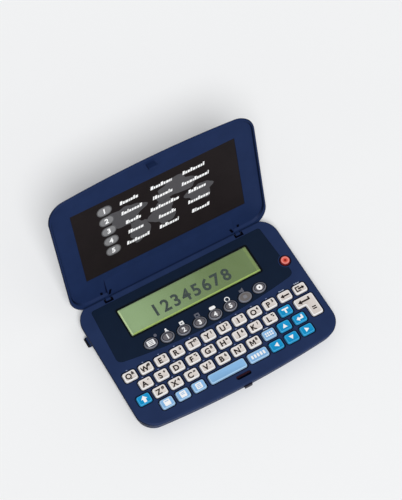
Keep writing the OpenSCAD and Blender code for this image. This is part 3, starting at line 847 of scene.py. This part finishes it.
def arrow(length, width, shaft, head):
    """Arrow along +X about its middle."""
    tip, neck, tail = length / 2, length / 2 - head, -length / 2
    return [(tail, -shaft / 2), (neck, -shaft / 2), (neck, -width / 2), (tip, 0),
            (neck, width / 2), (neck, shaft / 2), (tail, shaft / 2)]


def bent_arrow(length, rise, shaft, width, head):
    """Arrow to the left about its middle, with a tail that turns up at the right."""
    left, right = -length / 2, length / 2
    return [(right, rise), (right - shaft, rise), (right - shaft, shaft / 2), (left + head, shaft / 2),
            (left + head, width / 2), (left, 0), (left + head, -width / 2), (left + head, -shaft / 2),
            (right, -shaft / 2)]


def outline_legend(outline, lift=DISH_Z):
    def draw(bm, centre, number):
        flat(bm, moved(outline, centre.x, centre.y), lift)
    return draw


def letter_legend(character, sign):
    def draw(bm, centre, number):
        stamp(bm, character, centre.x + LETTER_X, centre.y + LETTER_Y, DISH_Z, LETTER_H, bold=LETTER_BOLD)
        stamp(bm, sign, centre.x + SIGN_X, centre.y + SIGN_Y, DISH_Z, SIGN_H, bold=SIGN_BOLD)
    return draw


# Generic second sign of each letter key, in the order of LETTER_KEYS
SECOND_SIGNS = "&#3$@12345*+9%8=6?%#4=5678"

for sign, (key_name, character) in zip(SECOND_SIGNS, LETTER_KEYS.items()):
    legend(key_name, [ink_dark], letter_legend(character, sign))


BACK_SIGN = turned(arrow(length=5.4, width=2.6, shaft=0.9, head=1.9), 180)
DOOR = [
    (-2.7, -1.6), (0.2, -1.6), (0.2, -0.9), (-2.0, -0.9),
    (-2.0, 0.9), (0.2, 0.9), (0.2, 1.6), (-2.7, 1.6),
]
EXIT_ARROW = moved(arrow(length=3.9, width=2.4, shaft=1.0, head=1.5), 0.8, 0)
# The enter key's arrow and bars, placed from the middle of its arm
ENTER_ARROW = moved(bent_arrow(length=7.4, rise=1.6, shaft=1.0, width=2.9, head=2.2), -0.6, -0.2)
ENTER_BARS_Y = (-6.65, -5.45)
ENTER_BAR_LEN = 2.4
ENTER_BAR_H = 0.7


def exit_legend(bm, centre, number):
    """A door frame with an arrow that leaves it."""
    for shape in (DOOR, EXIT_ARROW):
        flat(bm, moved(shape, centre.x, centre.y), DISH_Z)


def enter_legend(bm, centre, number):
    """A bent arrow on the arm and two bars on the leg."""
    low, high = places("key_enter")[0]
    arm_y = high.y - ENTER_ARM_D / 2
    leg_x = high.x - ENTER_LEG_W / 2
    flat(bm, moved(ENTER_ARROW, centre.x, arm_y), DISH_Z)
    for y in ENTER_BARS_Y:
        flat(bm, bar(leg_x, arm_y + y, ENTER_BAR_LEN, ENTER_BAR_H), DISH_Z)


legend("key_back", [ink_dark], outline_legend(BACK_SIGN))
legend("key_exit", [ink_dark], exit_legend)
legend("key_enter", [ink_dark], enter_legend)

TRIANGLE = [(-1.1, -1.4), (1.3, 0), (-1.1, 1.4)]
TAB_SIGN = [
    (-0.6, -1.6), (0.4, -1.6), (0.4, 0.4), (2.1, 0.4),
    (2.1, 1.3), (-2.1, 1.3), (-1.5, 0.4), (-0.6, 0.4),
]
BLUE_SIGNS = {
    "key_up": turned(TRIANGLE, 90),
    "key_left": turned(TRIANGLE, 180),
    "key_down": turned(TRIANGLE, -90),
    "key_right": TRIANGLE,
    "key_shift": turned(arrow(length=3.9, width=3.6, shaft=1.7, head=2.0), 90),
    "key_tab": TAB_SIGN,
    "key_return": moved(bent_arrow(length=4.2, rise=1.9, shaft=1.0, width=2.8, head=1.7), 0, -0.3),
}
for key_name, outline in BLUE_SIGNS.items():
    legend(key_name, [ink_white], outline_legend(outline))


SHEET = rounded(w=3.5, d=3.5, r=0.4)
SHEET_LINE_STEP = 0.85
SHEET_LINE_LEN = 2.0
SHEET_LINE_H = 0.4
BLOCK_GAP = 0.4
BLOCK_R = 0.25


def sheet_legend(bm, centre, number):
    """A small page with lines, a different count on each key."""
    flat(bm, moved(SHEET, centre.x, centre.y), DISH_Z)
    for i in range(number + 1):
        y = centre.y + SHEET_LINE_STEP - SHEET_LINE_STEP * i
        flat(bm, bar(centre.x, y, SHEET_LINE_LEN, SHEET_LINE_H), DISH_Z + INK, index=1)


def row_of_blocks(count, pitch, width, height, rows):
    """Blocks in one or more rows, about the key's middle."""
    def draw(bm, centre, number):
        for row in range(rows):
            y = centre.y + (row - (rows - 1) / 2) * (height + BLOCK_GAP)
            for i in range(count):
                x = centre.x + (i - (count - 1) / 2) * pitch
                flat(bm, moved(rounded(width, height, BLOCK_R), x, y), DISH_Z)
    return draw


symbol_blocks = row_of_blocks(count=4, pitch=1.25, width=0.9, height=1.0, rows=2)
wide_blocks = row_of_blocks(count=5, pitch=1.8, width=1.1, height=2.1, rows=1)
legend("icon_keys", [ink_white, pale_dish], sheet_legend)
legend("key_symbol", [ink_white], symbol_blocks)
legend("wide_key", [ink_white], wide_blocks)

MENU_PAGE = rounded(w=4.3, d=3.2, r=0.4)
MENU_LINE_STEP = 0.9
MENU_LINE_LEN = 2.8
MENU_LINE_H = 0.36
RING_W = 3.3
RING_MIDDLE_W = 1.0
GREY_SIGN = rounded(w=2.2, d=2.0, r=0.5)
# Width of the painted shade in the power button's dimple
POWER_DOT_W = 1.5


def menu_legend(bm, centre, number):
    """A page with three lines."""
    flat(bm, moved(MENU_PAGE, centre.x, centre.y), OVAL_Z)
    for i in (-1, 0, 1):
        y = centre.y + MENU_LINE_STEP * i
        flat(bm, bar(centre.x, y, MENU_LINE_LEN, MENU_LINE_H), OVAL_Z + INK, index=1)


def number_legend(bm, centre, number):
    stamp(bm, str(number + 1), centre.x, centre.y, OVAL_Z, OVAL_NUMBER_H, bold=NUMBER_BOLD)


def ring_legend(bm, centre, number):
    """A white disc with a dark middle."""
    flat(bm, moved(ellipse(RING_W, RING_W), centre.x, centre.y), OVAL_Z)
    flat(bm, moved(dot(RING_MIDDLE_W), centre.x, centre.y), OVAL_Z + INK, index=1)


legend("menu_key", [ink_white, oval_dish], menu_legend)
legend("language_keys", [ink_white], number_legend)
legend("ring_key", [ink_white, ink_dark], ring_legend)
legend("grey_key", [ink_grey], outline_legend(GREY_SIGN, OVAL_Z))
legend("power_button", [dimple_painted_shade], outline_legend(dot(POWER_DOT_W), POWER_Z))


# ---------------------------------------------------------------- screen panel and display

WINDOW_R = 0.4
BORDER_EDGE_R = 0.1
FRAME_W = 1.0
FRAME_EDGE_R = 0.02
# The clear pane: gap around it, how far it stays inside the lens, radius of its edges
PANE_GAP = 0.05
PANE_RISE = 0.1
PANE_SUNK = 0.05
PANE_EDGE_R = 0.05
# Edges of a plate sharper than this many degrees get the small radius
PLATE_EDGE_ANGLE = 60
# Width of the painted highlight strips at the display's left and front, and of the painted glint band at
# its right
LIT_SIDE = 1.3
LIT_FRONT = 1.7
GLINT_W = 1.6


def plate(name, outer, holes, low_z, high_z, edge_radius, materials):
    """A flat plate with holes and a small radius along its edges."""
    bm = bmesh.new()
    flat(bm, outer, high_z, holes)
    bmesh.ops.recalc_face_normals(bm, faces=bm.faces)
    made = bmesh.ops.extrude_face_region(bm, geom=list(bm.faces))
    verts = [g for g in made["geom"] if isinstance(g, bmesh.types.BMVert)]
    bmesh.ops.translate(bm, vec=(0, 0, low_z - high_z), verts=verts)
    bmesh.ops.recalc_face_normals(bm, faces=bm.faces)
    piece = finish_piece(name, bm, "base", materials)
    round_edges(piece, edge_radius, PLATE_EDGE_ANGLE)
    return piece


def window_outline(e):
    """The window's outline, drawn in by e."""
    return moved(rounded(WINDOW_SIZE.x, WINDOW_SIZE.y, WINDOW_R, e), *WINDOW_MIDDLE)


lens_loops = top_loops("screen_lens")
lens_holes = lens_loops[1:] + [window_outline(-FRAME_W)]
border = plate("screen_border", lens_loops[0], lens_holes,
               LENS_LOW.z, LENS_HIGH.z, BORDER_EDGE_R, [panel_gloss])
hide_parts("screen_lens")
plate("window_frame", window_outline(-FRAME_W), [window_outline(0)],
      LENS_LOW.z, LENS_HIGH.z, FRAME_EDGE_R, [frame_black])
plate("screen_window", window_outline(PANE_GAP), [],
      LENS_LOW.z + PANE_RISE, LENS_HIGH.z - PANE_SUNK, PANE_EDGE_R, [window_clear])


def make_display():
    """The picture: green field, painted highlights along the left and front edges, and a painted glint band
    at the right.
    """
    z = DISPLAY_HIGH.z + INK
    reach = DISPLAY_END / 2
    x0, y0 = WINDOW_LOW.x - reach, WINDOW_LOW.y - reach
    x1, y1 = WINDOW_HIGH.x + reach, WINDOW_HIGH.y + reach
    lit_x, lit_y = WINDOW_LOW.x + LIT_SIDE, WINDOW_LOW.y + LIT_FRONT
    glint_x = WINDOW_HIGH.x - GLINT_W
    bm = bmesh.new()
    flat(bm, rectangle(lit_x, lit_y, glint_x, y1), z)
    flat(bm, rectangle(x0, y0, lit_x, y1), z, index=1)
    flat(bm, rectangle(lit_x, y0, x1, lit_y), z, index=2)
    flat(bm, rectangle(glint_x, lit_y, x1, y1), z, index=3)
    materials = [lcd_green, lcd_highlight_left, lcd_highlight_front, lcd_glint]
    finish_piece("display_picture", bm, "base", materials)


DISPLAY_TEXT = "12345678"
DIGIT_H = 6.8
DIGIT_STEP = 6.3
DIGIT_X = 0.5
DIGIT_Y = -0.6
DIGIT_BOLD = 0.03


def make_digits():
    """Plain numbers on the display."""
    bm = bmesh.new()
    left = DIGIT_X - DIGIT_STEP * (len(DISPLAY_TEXT) - 1) / 2
    for i, digit in enumerate(DISPLAY_TEXT):
        stamp(bm, digit, WINDOW_MIDDLE.x + left + DIGIT_STEP * i, WINDOW_MIDDLE.y + DIGIT_Y,
              DISPLAY_HIGH.z + 2 * INK, DIGIT_H, bold=DIGIT_BOLD)
    finish_piece("display_digits", bm, "base", [lcd_ink])


make_display()
make_digits()

# Place of each sign, from the middle of its oval key
SIGN_PLACES = ((4.3, 3.1), (1.2, 3.9), (0.9, 4.2), (0.8, 4.5), (0.5, 4.3), (0.4, 4.4), (0.3, 4.4))
PERSON = [(-1.3, -1.1), (1.3, -1.1), (0.5, 0), (0.5, 1.1), (-0.5, 1.1), (-0.5, 0)]
SPEAKER = [(-1.5, -0.7), (-0.2, -0.7), (1.1, -1.6), (1.1, 1.6), (-0.2, 0.7), (-1.5, 0.7)]
# Outline, holes and material number of each sign
PANEL_SIGNS = [
    (dot(1.8), [], 1),
    (PERSON, [], 0),
    (rounded(w=2.5, d=2.2, r=0.3), [rounded(w=1.2, d=0.7, r=0.2)], 0),
    (rounded(w=2.9, d=2.5, r=0.3), [rounded(w=1.3, d=1.0, r=0.2)], 1),
    (rounded(w=3.7, d=1.9, r=0.9), [], 0),
    (ellipse(w=3.1, d=3.1), [ellipse(w=2.1, d=2.1)], 0),
    (SPEAKER, [], 1),
]


def make_panel_signs():
    """Small generic signs on the panel, above the oval keys."""
    ovals = places("menu_key") + places("language_keys") + places("grey_key")
    bm = bmesh.new()
    for box, (right, up), (outer, holes, index) in zip(ovals, SIGN_PLACES, PANEL_SIGNS):
        x, y = middle(box).x + right, middle(box).y + up
        flat(bm, moved(outer, x, y), TOP_Z + 2 * INK, [moved(hole, x, y) for hole in holes], index)
    finish_piece("panel_signs", bm, "base", [ink_white, ink_faint])


# The marks: distance behind the key, size, and the keys whose mark is a word
MARK_UP = 0.95
MARK_W = 0.9
MARK_H = 0.5
MARK_R = 0.2
WORD_MARKS = ("key_back", "key_exit", "key_symbol")
WORD_MARK_LEN = 3.2
WORD_MARK_H = 0.7


def make_casing_marks():
    """Small pale marks on the casing behind the keys."""
    bm = bmesh.new()
    for key_name in LETTER_KEYS:
        box = places(key_name)[0]
        mark = rounded(MARK_W, MARK_H, MARK_R)
        flat(bm, moved(mark, middle(box).x, box[1].y + MARK_UP), TOP_Z + INK)
    for seed, key_name in enumerate(WORD_MARKS):
        box = places(key_name)[0]
        x, y = middle(box).x, box[1].y + MARK_UP
        word(bm, x, y, TOP_Z + INK, WORD_MARK_LEN, WORD_MARK_H, seed, index=1)
    finish_piece("casing_marks", bm, "base", [ink_mark, ink_pale])


make_panel_signs()
make_casing_marks()


# ---------------------------------------------------------------- lid: printed card

CARD_LOW, CARD_HIGH = closed_box("lid_card")
CARD_SIZE = CARD_HIGH - CARD_LOW
CARD_Z = CARD_LOW.z
# Distance from the hinge line to the card's lower edge
CARD_RISE = HINGE.y - CARD_HIGH.y
CARD_R = 0.3
CARD_BEVEL = 0.03


def on_lid(u, v, lift):
    """A point across and up from the hinge line, lifted off the card's face, on the open lid."""
    return swung((u, HINGE.y - v, CARD_Z - lift), OPEN_ANGLE)


def make_card():
    bm = bmesh.new()
    middle_v = CARD_RISE + CARD_SIZE.y / 2
    rings = []
    for lift, e in ((-CARD_SIZE.z, 0), (-CARD_BEVEL, 0), (0, CARD_BEVEL)):
        outline = moved(rounded(CARD_SIZE.x, CARD_SIZE.y, CARD_R, e, steps=3), 0, middle_v)
        rings.append([on_lid(u, v, lift) for u, v in outline])
    loft(bm, rings, [0, 0])
    piece = finish_piece("printed_card", bm, "lid", [card_dark])
    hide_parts("lid_card")


ROW_COUNT = 5
ROW_STEP = 7.2
LOWEST_ROW = CARD_RISE + 12.7
PILL_U = -30.3
PILL_W = 8.8
PILL_H = 6.0
PILL_RIM = 0.6
PILL_NUMBER_H = 3.0
WORD_H = 2.3
WORD_COLUMNS = (-15.5, 3.5, 23.0)
# Lengths of the words, from the top row down
WORD_LENGTHS = (
    (11.5, 12.8, 13.2),
    (12.2, 12.4, 16.4),
    (9.7, 17.8, 10.6),
    (9.2, 10.2, 13.2),
    (13.6, 11.6, 10.7),
)
# Middle, size and shape number of each soft patch behind the words
PATCHES = (
    (-19.5, 49, 22, 13, 0.4),
    (-13.5, 35, 12, 15, 1.9),
    (11.5, 52, 24, 12, 3.1),
    (1.5, 39, 15, 16, 4.6),
    (24.5, 41, 16, 11, 5.5),
)
# Depth, count and shift of the waves in the edge of a patch
PATCH_WAVES = ((0.16, 3, 1), (0.1, 5, 2.3), (0.05, 9, 1))


def uneven(w, d, seed, steps=40):
    """A rounded patch with a gently uneven edge. seed picks its shape."""
    points = []
    for i in range(steps):
        a = 2 * math.pi * i / steps
        k = 1 + sum(depth * math.sin(count * a + shift * seed) for depth, count, shift in PATCH_WAVES)
        points.append((w / 2 * k * math.cos(a), d / 2 * k * math.sin(a)))
    return points


def make_card_print():
    """Numbered pills, rows of plain word blocks and grey patches behind them."""
    bm = bmesh.new()
    for u, v, w, d, seed in PATCHES:
        flat(bm, moved(uneven(w, d, seed), u, v), INK, index=1, put=on_lid)
    for row in range(ROW_COUNT):
        v = LOWEST_ROW + ROW_STEP * (ROW_COUNT - 1 - row)
        rim = rounded(PILL_W, PILL_H, PILL_H / 2)
        face = rounded(PILL_W, PILL_H, PILL_H / 2, PILL_RIM)
        flat(bm, moved(rim, PILL_U, v), 2 * INK, index=2, put=on_lid)
        flat(bm, moved(face, PILL_U, v), 3 * INK, index=3, put=on_lid)
        stamp(bm, str(row + 1), PILL_U, v, 4 * INK, PILL_NUMBER_H, put=on_lid, bold=NUMBER_BOLD)
        for column, (u, length) in enumerate(zip(WORD_COLUMNS, WORD_LENGTHS[row])):
            word(bm, u, v, 2 * INK, length, WORD_H, row + 2 * column, put=on_lid)
    finish_piece("card_print", bm, "lid", [ink_white, map_grey, pill_rim, pill_grey])


# ---------------------------------------------------------------- painted shade at the hinges

# The lid's hinge arms as in the CAD: width, gap around them, radius of their ends
ARM_W = 2.6
ARM_GAP = 0.5
NOSE_R = 1.0
# Height of the tray's floor over the card's face
TRAY_LIFT = 0.05
# The wedge between the hinge arms: thickness at the hinge, length and far end
WEDGE_T = 1.1
WEDGE_LEN = 11.0
WEDGE_END = 12.4
# The painted shade of the slits beside an arm: lower and upper end, width, and how far the inner one leans
# in
SLIT_LOW = 1.5
SLIT_HIGH = 4.4
SLIT_W = 1.4
SLIT_GAP = 0.1
SLIT_LEAN = 1.3
# Width of the painted shade lines around the casing's notches, and of the painted shade in the crease
# beside the wedge
NOTCH_LINE = 0.85
CREASE_W = 0.8


def wedge_height(v):
    return WEDGE_T * (WEDGE_END - v) / WEDGE_LEN


def on_wedge(u, v, lift):
    """A point on the wedge's slope, lifted off its face."""
    return on_lid(u, v, lift + wedge_height(v))


def wedge_painted_shade(bm, arm_in, side):
    """Painted shade as a dark line up the wedge's side wall, and at the left hinge also a painted shadow
    along the tray's floor.
    """
    if side < 0:
        foot = [
            (arm_in - CREASE_W, SLIT_LOW), (arm_in, SLIT_LOW),
            (arm_in, WEDGE_END), (arm_in - CREASE_W / 3, WEDGE_END),
        ]
        flat(bm, foot, TRAY_LIFT + INK, index=1, put=on_lid)
    wall = [(SLIT_LOW, 0), (WEDGE_END, 0), (SLIT_LOW, wedge_height(SLIT_LOW))]
    corners = [bm.verts.new(on_lid(arm_in + side * INK, v, TRAY_LIFT + rise)) for v, rise in wall]
    face = bm.faces.new(corners if side > 0 else corners[::-1])
    face.material_index = 1


def make_hinge_painted_shade():
    """Painted shade as dark slits around each hinge arm, on the lid and on the casing in front of it."""
    lid_marks, base_marks = bmesh.new(), bmesh.new()
    lift = TRAY_LIFT + INK
    front = HINGE.y - NOSE_R - ARM_GAP
    reach = ARM_W / 2 + ARM_GAP
    for island in islands("hinge_pins"):
        x = middle(bounding_box(island)).x
        side = math.copysign(1, x)
        arm_in, arm_out = x - side * ARM_W / 2, x + side * ARM_W / 2
        wedge_painted_shade(lid_marks, arm_in, side)
        outer = sorted((arm_out, arm_out + side * SLIT_W))
        flat(lid_marks, rectangle(outer[0], SLIT_LOW, outer[1], SLIT_HIGH), lift, put=on_lid)
        low, high = arm_in - side * SLIT_GAP, arm_in - side * SLIT_LEAN
        leg = [
            (low, SLIT_LOW), (low - side * SLIT_W, SLIT_LOW),
            (high - side * SLIT_W, SLIT_HIGH), (high, SLIT_HIGH),
        ]
        flat(lid_marks, leg, lift, put=on_wedge)
        flat(base_marks, rectangle(x - reach, front - NOTCH_LINE, x + reach, front), TOP_Z + INK)
        for edge in (x - reach - NOTCH_LINE, x + reach):
            flat(base_marks, rectangle(edge, front - NOTCH_LINE, edge + NOTCH_LINE, HINGE.y), TOP_Z + INK)
    finish_piece("lid_slit_shade", lid_marks, "lid", [slit_painted_shade, crease_painted_shade])
    finish_piece("casing_slit_shade", base_marks, "base", [slit_painted_shade])


make_card()
make_card_print()
make_hinge_painted_shade()


# ---------------------------------------------------------------- floor, light and world

# Half the floor's width, in metres
FLOOR_HALF = 3.0
LIGHT_FROM = (-0.3, -0.7, 1.1)
LIGHT_STRENGTH = 2.25
# Width of the sun's disc, in degrees
LIGHT_WIDTH = 24
WORLD_STRENGTH = 0.36
BACKDROP_STRENGTH = 0.86


def make_floor():
    bm = bmesh.new()
    bmesh.ops.create_grid(bm, x_segments=8, y_segments=8, size=FLOOR_HALF)
    mesh = bpy.data.meshes.new("floor")
    bm.to_mesh(mesh)
    bm.free()
    floor = bpy.data.objects.new("floor", mesh)
    floor.location.z = CASING_LOW.z * MM
    scene.collection.objects.link(floor)
    mesh.materials.append(Finish("floor_pale", srgb(248, 249, 250), 0.8).mottle(400, 0.01).material)


def make_lamp():
    """A sun with a wide disc, for soft shadows, from the front left."""
    data = bpy.data.lights.new("soft_light", "SUN")
    data.energy = LIGHT_STRENGTH
    data.angle = math.radians(LIGHT_WIDTH)
    lamp = bpy.data.objects.new("soft_light", data)
    lamp.rotation_euler = (-Vector(LIGHT_FROM)).to_track_quat("-Z", "Y").to_euler()
    scene.collection.objects.link(lamp)


def make_world():
    """Even white light from all sides. The camera sees it as pale as the floor."""
    world = bpy.data.worlds.new("studio")
    world.use_nodes = True
    nodes, links = world.node_tree.nodes, world.node_tree.links
    sky = nodes["Background"]
    sky.inputs["Strength"].default_value = WORLD_STRENGTH
    backdrop = nodes.new("ShaderNodeBackground")
    backdrop.inputs["Strength"].default_value = BACKDROP_STRENGTH
    for background in (sky, backdrop):
        background.inputs["Color"].default_value = (1, 1, 1, 1)
    mix = nodes.new("ShaderNodeMixShader")
    links.new(nodes.new("ShaderNodeLightPath").outputs["Is Camera Ray"], mix.inputs["Fac"])
    links.new(sky.outputs["Background"], mix.inputs[1])
    links.new(backdrop.outputs["Background"], mix.inputs[2])
    links.new(mix.outputs["Shader"], nodes["World Output"].inputs["Surface"])
    scene.world = world


make_floor()
make_world()
make_lamp()
scene.view_settings.view_transform = "Standard"
